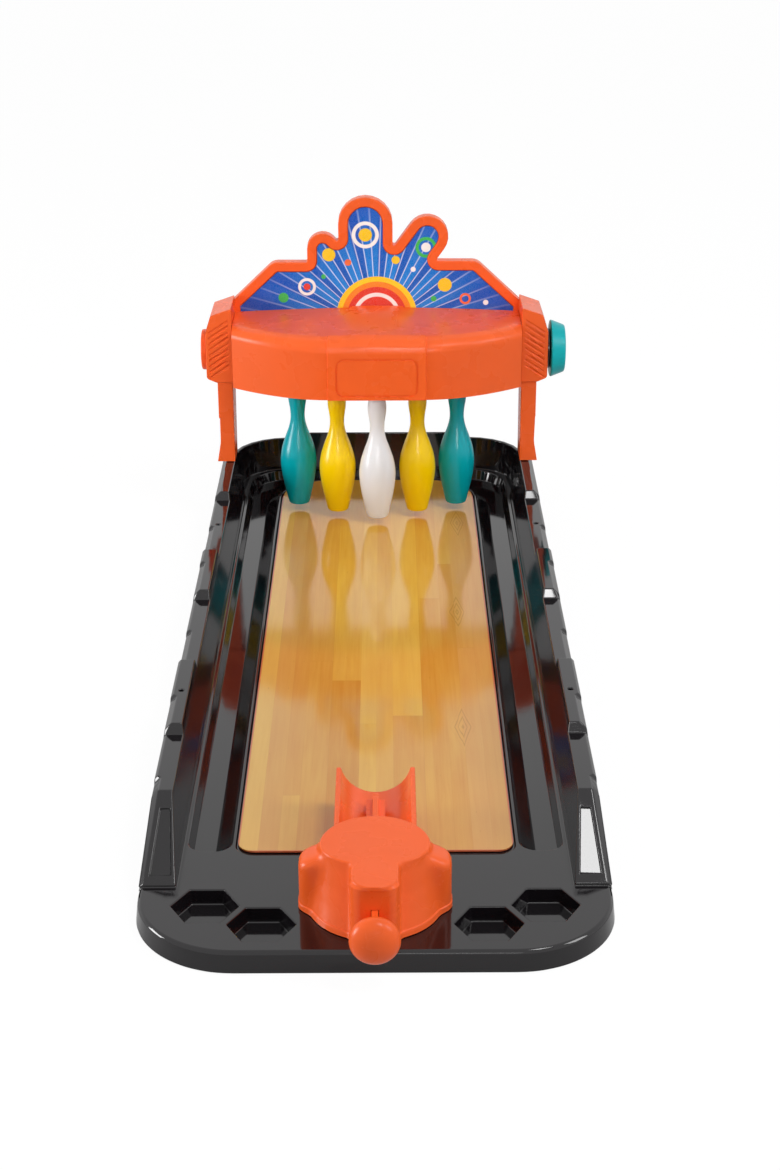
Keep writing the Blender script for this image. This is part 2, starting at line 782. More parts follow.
def cup_cutters(shop, name, wall):
    """The four tapered cups as cutters, widened by a wall."""
    top = DECK_HEIGHT + (CUT_OVERRUN if wall == 0 else 0)
    floor = DECK_HEIGHT - CUP_DEPTH - (CUP_FLOOR_WALL if wall else 0)
    cups = []
    for place in cup_places():
        lower = level(hexagon(place, CUP_FLOOR_RADIUS + wall), floor)
        upper = level(hexagon(place, CUP_RADIUS + wall), top)
        cups.append(shop.cutter(name, loft(name, [lower, upper])))
    return cups


def gutter_cutter(shop, name, wall):
    """The U-shaped gutter as a cutter, widened by a wall."""
    floor = DECK_HEIGHT - GUTTER_DEPTH - (GUTTER_FLOOR_WALL if wall else 0)
    rings = [
        level(gutter_outline(wall, GUTTER_LANE_SLOPE, GUTTER_OUTER_SLOPE), floor),
        level(gutter_outline(wall, 0, 0), DECK_HEIGHT),
        level(gutter_outline(wall, 0, 0), DECK_HEIGHT + CUT_OVERRUN / 4),
    ]
    return shop.cutter(name, loft(name, rings))


def wall_top_middle(height):
    """How far out the middle of the side wall's flat top lies from its inner foot."""
    outer_top = WALL_BASE_WIDTH + WALL_LEAN_SHARES[1] * height - WALL_SLIM_SHOULDER
    return (WALL_LEAN_SHARES[0] * height + outer_top) / 2


def wall_screw_cutter(shop):
    """Blind holes in the tops of the side walls."""
    holes = []
    for side in (-1, 1):
        for share in WALL_SCREW_SHARES:
            tall = share < sum(WALL_SCREW_SHARES) / 2
            top = DECK_HEIGHT + (WALL_HIGH if tall else WALL_LOW)
            hole = rod("wall_screw", WALL_SCREW_RADIUS, 2 * WALL_SCREW_DEPTH, BORE_STEPS)
            x = side * (WALL_INNER_HALF + wall_top_middle(WALL_HIGH if tall else WALL_LOW))
            y = WALL_FRONT_Y + share * WALL_LENGTH
            holes.append(moved(hole, x, y, top))
    return shop.cutter("wall_screw_cutter", joined("wall_screw_cutter", holes))


def frame_screw_place(side):
    """Where the screw head of one side frame seats."""
    return (side * FRAME_SCREW_X, FRAME_Y + POST_DEPTH / 2, FRAME_SCREW_SEAT)


def frame_screw_holes():
    """For each post, a hole through the wall's top and a wide bore up to it from below."""
    holes = []
    for side in (-1, 1):
        place = frame_screw_place(side)
        hole = rod("frame_screw_hole", SCREW_RADIUS + SEAT_GAP, 2 * FRAME_SCREW_LENGTH, BORE_STEPS)
        holes.append(moved(hole, *place))
        sink = rod("frame_screw_sink", SCREW_HEAD_RADIUS + FRAME_SCREW_SINK, 2 * FRAME_SCREW_SEAT, BORE_STEPS)
        holes.append(moved(sink, place[0], place[1]))
    return holes


def wedge_panel_cutter(shop):
    """The shallow panels sunk in the slopes at the front ends of the side walls."""
    run = WEDGE_SHARE * WALL_LENGTH
    foot_share, head_share = WEDGE_PANEL_SHARES
    slope = Vector((0, run, WALL_LOW)).normalized()
    normal = Vector((0, -slope.z, slope.y))
    length = sqrt(run**2 + WALL_LOW**2)
    panels = []
    for side in (-1, 1):
        rings = []
        for inner_rise, outer_rise in (
            (-WEDGE_PANEL_DEPTH, -WEDGE_PANEL_OUTER_DEPTH),
            (CUT_OVERRUN, CUT_OVERRUN),
        ):
            ring = []
            for share, outside in ((foot_share, 0), (foot_share, 1), (head_share, 1), (head_share, 0)):
                rise = share * WALL_LOW
                inner = WALL_INNER_HALF + WALL_LEAN_SHARES[0] * rise + WEDGE_PANEL_MARGIN
                foot = WALL_INNER_HALF + WALL_BASE_WIDTH - 2 * WEDGE_PANEL_MARGIN
                outer = foot + WALL_LEAN_SHARES[1] * rise
                x = side * (outer if outside else inner)
                depth = outer_rise if outside else inner_rise
                ring.append(Vector((x, WALL_FRONT_Y, DECK_HEIGHT)) + slope * length * share + normal * depth)
            rings.append(ring)
        panels.append(loft("wedge_panel", rings))
    return shop.cutter("wedge_panel_cutter", joined("wedge_panel_cutter", panels))


def underside_cutter(shop):
    """The space under the deck, less the gutters, the cups, the ribs and the bosses."""
    ceiling = DECK_HEIGHT - DECK_THICKNESS
    outline = tray_outline(TRAY_WALL)
    space = shop.cutter("underside_cutter", prism("underside_cutter", outline, -CUT_OVERRUN, ceiling))
    cut(space, gutter_cutter(shop, "gutter_keep", TRAY_WALL))
    for cup in cup_cutters(shop, "cup_keep", TRAY_WALL):
        cut(space, cup)
    ribs = []
    for share in CROSS_RIB_SHARES:
        y = FRONT_Y + share * TRAY_LENGTH
        ribs.append(
            box(
                "cross_rib",
                (-HALF_WIDTH, y - RIB_THICKNESS / 2, RIB_FOOT_GAP),
                (HALF_WIDTH, y + RIB_THICKNESS / 2, DECK_HEIGHT),
            )
        )
    for mesh in ribs:
        cut(space, shop.cutter("cross_rib", mesh))
    foot = rod("centre_foot", CENTRE_FOOT_RADIUS, 2 * DECK_HEIGHT)
    cut(space, shop.cutter("centre_foot", foot))
    boss = rod("pivot_boss", SPINDLE_RADIUS + TRAY_WALL, DECK_HEIGHT)
    moved(boss, PIVOT.x, PIVOT.y, DECK_HEIGHT + DECK_HEIGHT / 2 - DECK_THICKNESS)
    cut(space, shop.cutter("pivot_boss", boss))
    return space


def make_tray(shop):
    """The moulded tray: deck, lane recess, gutters, cups, stepped side walls and back wall."""
    rings = [
        level(tray_outline(-SKIRT_DRAFT), 0),
        level(tray_outline(0), DECK_HEIGHT - RIM_CHAMFER),
        level(tray_outline(RIM_CHAMFER), DECK_HEIGHT),
    ]
    tray = shop.piece("tray", loft("tray", rings), "black")
    walls = shop.cutter("side_walls", loft("side_walls", side_wall_rings(0, 0, 1)))
    mirror(walls)
    fuse(tray, walls)
    back = shop.cutter("back_wall", loft("back_wall", back_wall_rings(), closed=False))
    mirror(back)
    fuse(tray, back)
    recess = lane_outline(RECESS_SIDE_CLEARANCE, RECESS_FRONT_CLEARANCE)
    floor = DECK_HEIGHT - RECESS_DEPTH
    cut(tray, shop.cutter("recess_cutter", prism("recess_cutter", recess, floor, DECK_HEIGHT + CUT_OVERRUN)))
    cut(tray, gutter_cutter(shop, "gutter_cutter", 0))
    for cup in cup_cutters(shop, "cup_cutter", 0):
        cut(tray, cup)
    cut(tray, underside_cutter(shop))
    cores = shop.cutter("wall_cores", loft("wall_cores", side_wall_rings(TRAY_WALL, *WALL_CORE_SHARES)))
    mirror(cores)
    cut(tray, cores)
    cut(tray, wall_screw_cutter(shop))
    for mesh in frame_screw_holes():
        cut(tray, shop.cutter(mesh.name, mesh))
    cut(tray, wedge_panel_cutter(shop))
    hole = rod("pivot_hole", SPINDLE_RADIUS + RUNNING_GAP, 2 * DECK_HEIGHT)
    cut(tray, shop.cutter("pivot_hole", moved(hole, *PIVOT)))
    return tray


def make_lane_sheet(shop):
    """The printed lane, laid in its recess."""
    outline = lane_outline(0, 0)
    mesh = prism("lane_sheet", outline, DECK_HEIGHT - LANE_SHEET_THICKNESS, DECK_HEIGHT)
    shop.piece("lane_sheet", mesh, "wood")


def post_outline():
    """The right-hand post seen from the front, ending inside the head."""
    outer = POST_INNER_X + POST_WIDTH
    foot = DECK_HEIGHT + WALL_HIGH + SEAT_GAP
    step = DECK_HEIGHT + POST_STEP_HEIGHT
    inside = DECK_HEIGHT + (HEAD_BOTTOM + HEAD_TOP) / 2
    return rounded(
        [
            (POST_INNER_X + POST_STEP, foot, 0),
            (outer + POST_FOOT_FLARE, foot, 0),
            (outer - POST_STEP, foot + POST_FOOT_HEIGHT, POST_FOOT_HEIGHT),
            (outer - POST_STEP, step, 0),
            (outer, step + POST_STEP, 0),
            (outer, inside, 0),
            (POST_INNER_X + SEAT_GAP, inside, 0),
            (POST_INNER_X + SEAT_GAP, DECK_HEIGHT + HEAD_BOTTOM - HEAD_CORNER, 0),
        ]
    )


def head_outline():
    """The deep head above the post."""
    outer = POST_INNER_X + POST_WIDTH
    bottom = DECK_HEIGHT + HEAD_BOTTOM
    top = DECK_HEIGHT + HEAD_TOP
    return rounded(
        [
            (POST_INNER_X, bottom, 0),
            (outer, bottom, 0),
            (HEAD_OUTER_X, bottom + HEAD_CORNER / 2, HEAD_CORNER / 2),
            (HEAD_OUTER_X, top - 2 * HEAD_CORNER, HEAD_CORNER / 2),
            (outer + HEAD_CORNER / 2, top, HEAD_CORNER / 4),
            (POST_INNER_X, top + HEAD_TOP_SLOPE, 0),
        ]
    )


def rib_cutter(shop, name):
    """The slanted grooves in the front of the right-hand head."""
    grooves = []
    middle_x = POST_INNER_X + HEAD_WIDTH / 2
    middle_z = DECK_HEIGHT + (HEAD_BOTTOM + HEAD_TOP) / 2
    for index in range(HEAD_RIB_COUNT):
        rise = (index - (HEAD_RIB_COUNT - 1) / 2) * HEAD_RIB_PITCH
        half = Vector((HEAD_RIB_LENGTH, 2 * HEAD_RIB_DEPTH, HEAD_RIB_WIDTH)) / 2
        groove = box(name, -half, half)
        groove.transform(Matrix.Rotation(HEAD_RIB_ANGLE, 4, "Y"))
        grooves.append(moved(groove, middle_x, HEAD_Y, middle_z + rise))
    return shop.cutter(name, joined(name, grooves))


def make_side_frame(shop, side):
    """One side frame: a post on the wall, with the ribbed head that carries the header."""
    name = "side_frame_right" if side > 0 else "side_frame_left"
    post = standing(plate(name, [post_outline()], POST_DEPTH))
    moved(post, 0, FRAME_Y + POST_DEPTH / 2)
    head = standing(plate(name + "_head", [head_outline()], HEAD_DEPTH))
    moved(head, 0, HEAD_Y + HEAD_DEPTH / 2)
    bore = rod(name + "_bore", SHAFT_RADIUS + RUNNING_GAP, 4 * HEAD_WIDTH, BORE_STEPS, "X")
    moved(bore, POST_INNER_X, SHAFT_Y, SHAFT_Z)
    grooves = rib_cutter(shop, name + "_ribs")
    frame = shop.piece(name, post, "orange")
    for obj in (frame, grooves):
        obj.scale.x = side
    for mesh, operation in ((head, fuse), (bore, cut)):
        helper = shop.cutter(mesh.name, mesh)
        helper.scale.x = side
        operation(frame, helper)
    cut(frame, grooves)
    hole = rod(name + "_screw_hole", SCREW_RADIUS + SEAT_GAP, 2 * (FRAME_SCREW_LENGTH + SEAT_GAP), BORE_STEPS)
    place = frame_screw_place(side)
    cut(frame, shop.cutter(hole.name, moved(hole, *place)))
    head = (SCREW_HEAD_RADIUS, SCREW_HEAD_HEIGHT)
    screw_name = "frame_screw_right" if side > 0 else "frame_screw_left"
    make_screw(shop, screw_name, *head, FRAME_SCREW_LENGTH, (place[0], place[1], place[2] - SEAT_GAP), None)


def hood_point(share, along):
    """A point on the hood's outside. Share runs from the middle to the side, along from foot to rear."""
    x = share * HOOD_HALF
    facet = HOOD_FACET_HALF / HOOD_HALF
    beyond = max(0, (share - facet) / (1 - facet))
    front = HOOD_Y + HOOD_BULGE * beyond**HOOD_CURVE + (HOOD_FACET_STEP if share > facet else 0)
    crease = DECK_HEIGHT + HOOD_CREASE + HOOD_CREASE_RISE * beyond
    rear_y = BACKBOARD_Y - SEAT_GAP
    rear_z = DECK_HEIGHT + HOOD_REAR_HEIGHT - HOOD_CROWN * share**2
    if along == 0:
        return Vector((x, front, DECK_HEIGHT + HOOD_BOTTOM))
    if along <= len(HOOD_BAND_SHARES):
        depth, rise = HOOD_BAND_SHARES[along - 1]
        band = HOOD_BAND_HEIGHT - HOOD_CROWN * share**2
        step = HOOD_FACET_STEP if share > facet else 0
        return Vector((x, front + depth * HOOD_BAND_DEPTH, crease + rise * band - step * rise))
    narrow = HOOD_FACET_REAR_HALF / HOOD_FACET_HALF
    outside = HOOD_HALF - x
    if share > facet:
        x = HOOD_HALF - outside * (HOOD_HALF - HOOD_FACET_REAR_HALF) / (HOOD_HALF - HOOD_FACET_HALF)
    else:
        x *= narrow
    step = HOOD_FACET_STEP if share > facet else 0
    return Vector((x, rear_y, rear_z - step))


def make_hood(shop):
    """The bulging front and top of the header, a shell with a raised middle and a sunk frame line."""
    rows = len(HOOD_BAND_SHARES) + 2
    mesh = bpy.data.meshes.new("header_hood")
    shape = bmesh.new()
    columns = [
        [shape.verts.new(hood_point(share, along)) for along in range(rows)] for share in HOOD_STATION_SHARES
    ]
    for left, right in zip(columns, columns[1:]):
        for along in range(rows - 1):
            shape.faces.new((left[along], right[along], right[along + 1], left[along + 1]))
    shape.to_mesh(mesh)
    shape.free()
    hood = shop.piece("header_hood", mesh, "orange")
    mirror(hood)
    shell = hood.modifiers.new("shell", "SOLIDIFY")
    shell.thickness = HOOD_WALL
    shell.offset = -1
    shell.use_even_offset = True
    sides = (-PLATE_HALF_WIDTH, PLATE_BOTTOM, PLATE_HALF_WIDTH, PLATE_TOP)
    outer = rectangle(*sides, PLATE_CORNER, PLATE_CORNER)
    inner = rectangle(
        PLATE_GROOVE - PLATE_HALF_WIDTH,
        PLATE_BOTTOM + PLATE_GROOVE,
        PLATE_HALF_WIDTH - PLATE_GROOVE,
        PLATE_TOP - PLATE_GROOVE,
        PLATE_CORNER - PLATE_GROOVE,
        PLATE_CORNER - PLATE_GROOVE,
    )
    groove = standing(plate("plate_groove", [outer, inner], 2 * PLATE_GROOVE_DEPTH))
    cut(hood, shop.cutter("plate_groove", moved(groove, 0, HOOD_Y, DECK_HEIGHT)))


def make_header_back(shop):
    """The wall that closes the header behind the shaft."""
    back = BACKBOARD_Y - SEAT_GAP
    top = DECK_HEIGHT + HOOD_REAR_HEIGHT - HOOD_CROWN - HOOD_FACET_STEP - HOOD_WALL - 2 * SEAT_GAP
    low = (-HOOD_HALF, back - HEADER_BACK_THICKNESS, DECK_HEIGHT + HEADER_BACK_BOTTOM)
    shop.piece("header_back", box("header_back", low, (HOOD_HALF, back, top)), "orange")


def backboard_outline(inset):
    """The backboard's outline, drawn in by inset. Its hollow arcs widen where its round ones shrink."""
    half = BACKBOARD_HALF_WIDTH
    outline = [(inset - half, BACKBOARD_FOOT + inset)]
    for x, z, radius, first, last in BACKBOARD_ARC_SHARES:
        hollow = last > first
        reach = radius * half + (inset if hollow else -inset)
        centre = (x * half, BACKBOARD_FOOT + z * half)
        if reach <= 0:
            turn = radians((first + last) / 2)
            corner = inset - radius * half
            outline.append((centre[0] - corner * cos(turn), centre[1] - corner * sin(turn)))
        else:
            outline.extend(arc(*centre, reach, radians(first), radians(last)))
    outline.append((half - inset, BACKBOARD_FOOT + inset))
    return outline


def make_backboard(shop):
    """The lobed backboard with its raised rim, and the printed card in it."""
    board = standing(plate("backboard", [backboard_outline(0)], BACKBOARD_THICKNESS))
    moved(board, 0, BACKBOARD_Y + BACKBOARD_THICKNESS / 2, DECK_HEIGHT)
    backboard = shop.piece("backboard", board, "orange")
    recess = standing(plate("print_recess", [backboard_outline(BACKBOARD_RIM)], 2 * PRINT_RECESS))
    cut(backboard, shop.cutter("print_recess", moved(recess, 0, BACKBOARD_Y, DECK_HEIGHT)))
    card = standing(plate("backboard_print", [backboard_outline(BACKBOARD_RIM + SEAT_GAP)], PRINT_THICKNESS))
    moved(card, 0, BACKBOARD_Y + PRINT_RECESS - SEAT_GAP - PRINT_THICKNESS / 2, DECK_HEIGHT)
    shop.piece("backboard_print", card, "blue")


def pin_places():
    """(name, finish, pivot) of each pin, in a V with its point towards the player."""
    rows = (
        ("centre", "white", 0, CENTRE_PIN_FROM_BACK),
        ("inner_left", "yellow", -1, INNER_PIN_FROM_BACK),
        ("inner_right", "yellow", 1, INNER_PIN_FROM_BACK),
        ("outer_left", "teal", -2, OUTER_PIN_FROM_BACK),
        ("outer_right", "teal", 2, OUTER_PIN_FROM_BACK),
    )
    return [
        (name, finish, Vector((step * PIN_SPACING, BACK_Y - from_back, PIN_PIVOT_Z)))
        for name, finish, step, from_back in rows
    ]


def eye_plate(name, radius, reach, thickness):
    """A plate across the X axis, round about it and square at its far end, which lies reach above."""
    turn = 2 * pi / AXLE_STEPS
    if reach > 0:
        outline = [*arc(0, 0, radius, -pi, 0, turn), (radius, reach), (-radius, reach)]
    else:
        outline = [*arc(0, 0, radius, 0, pi, turn), (-radius, reach), (radius, reach)]
    return across(plate(name, [outline], thickness))


def make_pin(shop, name, finish, pivot):
    """A hanging pin with a lug on its head, and the axle through the lug."""
    bottom = -PIN_PIVOT_RISE - PIN_HEIGHT
    shares = PIN_PROFILE_SHARES
    profile = [(radius * PIN_BELLY_RADIUS, bottom + height * PIN_HEIGHT) for height, radius in shares]
    pin = turned(shop, "pin_" + name, profile, finish, steps=TURN_STEPS - 4)
    pin.location = pivot
    lug = eye_plate("lug_" + name, PIN_LUG_RADIUS, -PIN_PIVOT_RISE - PIN_LUG_RADIUS, PIN_LUG_WIDTH)
    hole = rod("hole_" + name, AXLE_RADIUS + RUNNING_GAP, 2 * PIN_LUG_WIDTH, AXLE_STEPS, "X")
    for mesh, operation in ((lug, fuse), (hole, cut)):
        helper = shop.cutter(mesh.name, mesh)
        helper.location = pivot
        operation(pin, helper)
    axle = shop.piece("axle_" + name, rod("axle_" + name, AXLE_RADIUS, AXLE_LENGTH, AXLE_STEPS, "X"), "steel")
    axle.location = pivot


def make_rack(shop):
    """The rack inside the header: a beam, a V of arms and two ears for each pin's axle."""
    places = [pivot for _, _, pivot in pin_places()]
    back = max(place.y for place in places) + RACK_MARGIN
    tip = min(place.y for place in places) - RACK_MARGIN
    beam = back - RACK_BEAM_DEPTH
    top = RACK_Z + RACK_THICKNESS
    bar = box("pin_rack", (-HOOD_HALF, beam, RACK_Z), (HOOD_HALF, back, top))
    rack = shop.piece("pin_rack", bar, "orange")
    half_tip = AXLE_LENGTH / 2
    reach = 2 * PIN_SPACING + half_tip
    inside = (beam + back) / 2
    arms = rounded([(-reach, inside, 0), (-half_tip, tip, 0), (half_tip, tip, 0), (reach, inside, 0)])
    fuse(rack, shop.cutter("rack_arms", prism("rack_arms", arms, RACK_Z + SEAT_GAP, top - SEAT_GAP)))
    aside = PIN_LUG_WIDTH / 2 + RACK_EAR_GAP + RACK_EAR_WIDTH / 2
    rise = RACK_Z + RACK_THICKNESS / 2 - PIN_PIVOT_Z
    ears = []
    for _, _, pivot in pin_places():
        for side in (-1, 1):
            ear = eye_plate("ear", RACK_EAR_RADIUS, rise, RACK_EAR_WIDTH)
            ears.append(moved(ear, pivot.x + side * aside, pivot.y, pivot.z))
    fuse(rack, shop.cutter("rack_ears", joined("rack_ears", ears)))
    holes = [
        moved(rod("axle_hole", AXLE_RADIUS + RUNNING_GAP, AXLE_LENGTH, AXLE_STEPS, "X"), *pivot)
        for _, _, pivot in pin_places()
    ]
    cut(rack, shop.cutter("axle_holes", joined("axle_holes", holes)))


def cam_outline():
    """A small cam seen along the shaft, pointing up."""
    reach = CAM_REACH - CAM_TIP_RADIUS
    hub = SHAFT_RADIUS + CAM_TIP_RADIUS / 2
    lower = arc(0, 0, hub, radians(150), radians(390), SMALL_ARC_STEP)
    tip = arc(0, reach, CAM_TIP_RADIUS, radians(20), radians(160), SMALL_ARC_STEP)
    return lower + tip


def make_reset_shaft(shop):
    """The reset shaft with its cams, its collar and knob on the right and its cap on the left."""
    left = -HEAD_OUTER_X - SEAT_GAP - HUB_BORE_DEPTH
    right = HEAD_OUTER_X + SEAT_GAP + COLLAR_THICKNESS + KNOB_BORE_DEPTH
    bar = rod("reset_shaft", SHAFT_RADIUS, right - left, BORE_STEPS, "X")
    shaft = shop.piece("reset_shaft", bar, "steel")
    shaft.data.transform(Matrix.Translation(((right + left) / 2, 0, 0)))
    cams = []
    for _, _, pivot in pin_places():
        cams.append(moved(across(plate("cam", [cam_outline()], CAM_WIDTH)), pivot.x))
    cam_set = shop.cutter("reset_cams", joined("reset_cams", cams))
    fuse(shaft, cam_set)
    collar_profile = [
        (SHAFT_RADIUS + SEAT_GAP, COLLAR_THICKNESS),
        (COLLAR_RADIUS, COLLAR_THICKNESS),
        (COLLAR_RADIUS, 0),
        (SHAFT_RADIUS + SEAT_GAP, 0),
    ]
    collar = turned(shop, "knob_collar", collar_profile, "black", closed=True)
    bore = SHAFT_RADIUS + SEAT_GAP
    knob_profile = [
        (0, KNOB_THICKNESS),
        (KNOB_FACE_RADIUS - KNOB_EDGE, KNOB_THICKNESS),
        (KNOB_FACE_RADIUS, KNOB_THICKNESS - KNOB_EDGE),
        (KNOB_RADIUS, KNOB_EDGE),
        (KNOB_RADIUS - KNOB_EDGE, 0),
        (bore, 0),
        (bore, KNOB_BORE_DEPTH + SEAT_GAP),
        (0, KNOB_BORE_DEPTH + SEAT_GAP),
    ]
    knob = turned(shop, "reset_knob", knob_profile, "teal", steps=ROUND_STEPS)
    cap_profile = [
        (0, HUB_THICKNESS),
        (HUB_RADIUS - KNOB_EDGE, HUB_THICKNESS),
        (HUB_RADIUS, HUB_THICKNESS - KNOB_EDGE),
        (HUB_RADIUS, 0),
        (bore, 0),
        (bore, HUB_BORE_DEPTH + SEAT_GAP),
        (0, HUB_BORE_DEPTH + SEAT_GAP),
    ]
    cap = turned(shop, "shaft_cap", cap_profile, "orange")
    collar.location = (HEAD_OUTER_X + SEAT_GAP, SHAFT_Y, SHAFT_Z)
    knob.location = (HEAD_OUTER_X + 2 * SEAT_GAP + COLLAR_THICKNESS, SHAFT_Y, SHAFT_Z)
    cap.location = (-HEAD_OUTER_X - SEAT_GAP, SHAFT_Y, SHAFT_Z)
    for obj in (collar, knob):
        obj.rotation_euler.y = radians(90)
    cap.rotation_euler.y = radians(-90)
    for obj in (shaft, cam_set):
        obj.location = (0, SHAFT_Y, SHAFT_Z)


def make_empty(shop, name, place):
    empty = bpy.data.objects.new(name, None)
    empty.location = place
    shop.part.objects.link(empty)
    return empty


def cover_profile():
    """The cover's outer side, top to bottom, then its inner side back to the axis."""
    flare = SKIRT_RADIUS - DISC_RADIUS
    outer = [(DISC_RADIUS + share * flare, height * LAUNCHER_TOP) for height, share in COVER_FLARE_SHARES]
    inner = [(radius - COVER_WALL, height) for radius, height in reversed(outer[1:])]
    rim = DISC_RADIUS - COVER_WALL / 2
    roof = LAUNCHER_TOP - COVER_WALL
    crown = [(0, LAUNCHER_TOP), (rim, LAUNCHER_TOP)]
    return [*crown, *outer, *inner, (inner[-1][0] - SEAT_GAP, roof), (0, roof)]


def ear_outline(side, margin):
    """One ear from above, let out by a margin."""
    left, right = sorted((side * (EAR_INNER - margin), side * (EAR_REACH + margin)))
    return rectangle(left, EAR_FRONT - margin, right, EAR_BACK + margin, EAR_ROUND, EAR_ROUND)


def ear_rings(side):
    """One ear: upright sides, a rounded edge and a top that rises towards the disc."""
    outline = ear_outline(side, 0)
    rings = [level(outline, LUG_THICKNESS + 2 * SEAT_GAP)]
    for inset_share, height_share in EAR_EDGE_SHARES:
        ring = shrunk(outline, inset_share * EAR_ROUND / 2)
        edge = EAR_TOP - EAR_ROUND * (1 - height_share)
        reach = EAR_REACH - EAR_INNER
        rings.append([Vector((x, y, edge + EAR_RISE * (EAR_REACH - abs(x)) / reach)) for x, y in ring])
    return rings


def make_launcher_cover(shop, pivot):
    """The round-topped cover with its neck at the front and an ear on each side."""
    cover = turned(shop, "launcher_cover", cover_profile(), "orange", steps=ROUND_STEPS)
    neck = rectangle(-NECK_HALF_WIDTH, -NECK_REACH, NECK_HALF_WIDTH, -DISC_RADIUS / 2, NECK_CORNER, SEAT_GAP)
    neck_top = LAUNCHER_TOP - NECK_DROP
    neck_rings = [
        level(neck, neck_top - NECK_THICKNESS),
        level(neck, neck_top - KNOB_EDGE),
        level([(x * NECK_TOP_SHARE, y + KNOB_EDGE) for x, y in neck], neck_top),
    ]
    ears = [loft("ear", ear_rings(side)) for side in (-1, 1)]
    spout = box(
        "spout",
        (-SPOUT_HALF_WIDTH, SPOUT_FRONT, COVER_FOOT_GAP),
        (SPOUT_HALF_WIDTH, SPOUT_BACK, neck_top - NECK_THICKNESS / 2),
    )
    scoop_top = neck_top - NECK_THICKNESS
    scoop = moved(rod("scoop", SPOUT_SCOOP_RADIUS, 2 * scoop_top, ROUND_STEPS), 0, SPOUT_SCOOP_Y)
    slot_low = (-SPOUT_SLOT, -2 * NECK_REACH, -CUT_OVERRUN)
    slot = box("rod_slot", slot_low, (SPOUT_SLOT, SPOUT_BACK / 2, ROD_HEIGHT))
    slot_round = rod("rod_slot_round", SPOUT_SLOT, 2 * NECK_REACH, TURN_STEPS, "Y")
    moved(slot_round, 0, -NECK_REACH, ROD_HEIGHT)
    gap = TROUGH_OUTER_RADIUS + 2 * SEAT_GAP
    rear = standing(plate("rear_channel", [half_pipe(gap, RAIL_TOP + 4 * SEAT_GAP)], 2 * DISC_RADIUS))
    moved(rear, 0, DISC_RADIUS + REAR_WALL_Y - ROD_COLLAR_LENGTH - 3 * SEAT_GAP)
    lugs = [
        prism("lug_notch", ear_outline(side, SEAT_GAP), -CUT_OVERRUN, LUG_THICKNESS + 2 * SEAT_GAP)
        for side in (-1, 1)
    ]
    holes = []
    for side in (-1, 1):
        hole = rod("ear_hole", SCREW_RADIUS + SEAT_GAP, 2 * (COVER_SCREW_LENGTH + SEAT_GAP), BORE_STEPS)
        holes.append(moved(hole, side * ear_screw_x(), (EAR_FRONT + EAR_BACK) / 2))
    steps = (
        ("cover_spout", spout, fuse),
        ("spout_scoop", scoop, cut),
        ("cover_neck", loft("cover_neck", neck_rings), fuse),
        ("cover_ears", joined("cover_ears", ears), fuse),
        ("rod_slot", slot, cut),
        ("rod_slot_round", slot_round, cut),
        ("rear_channel", rear, cut),
        ("lug_notches", joined("lug_notches", lugs), cut),
        ("ear_holes", joined("ear_holes", holes), cut),
    )
    for name, mesh, operation in steps:
        helper = shop.cutter(name, mesh)
        helper.parent = pivot
        operation(cover, helper)
    cover.parent = pivot


def shrunk(outline, inset):
    """The outline drawn in towards its middle, by inset at its far points."""
    middle_x = (min(x for x, _ in outline) + max(x for x, _ in outline)) / 2
    middle_y = (min(y for _, y in outline) + max(y for _, y in outline)) / 2
    half_x = max(x for x, _ in outline) - middle_x
    half_y = max(y for _, y in outline) - middle_y
    return [
        (middle_x + (x - middle_x) * (1 - inset / half_x), middle_y + (y - middle_y) * (1 - inset / half_y))
        for x, y in outline
    ]


def ear_screw_x():
    return (EAR_INNER + EAR_REACH) / 2


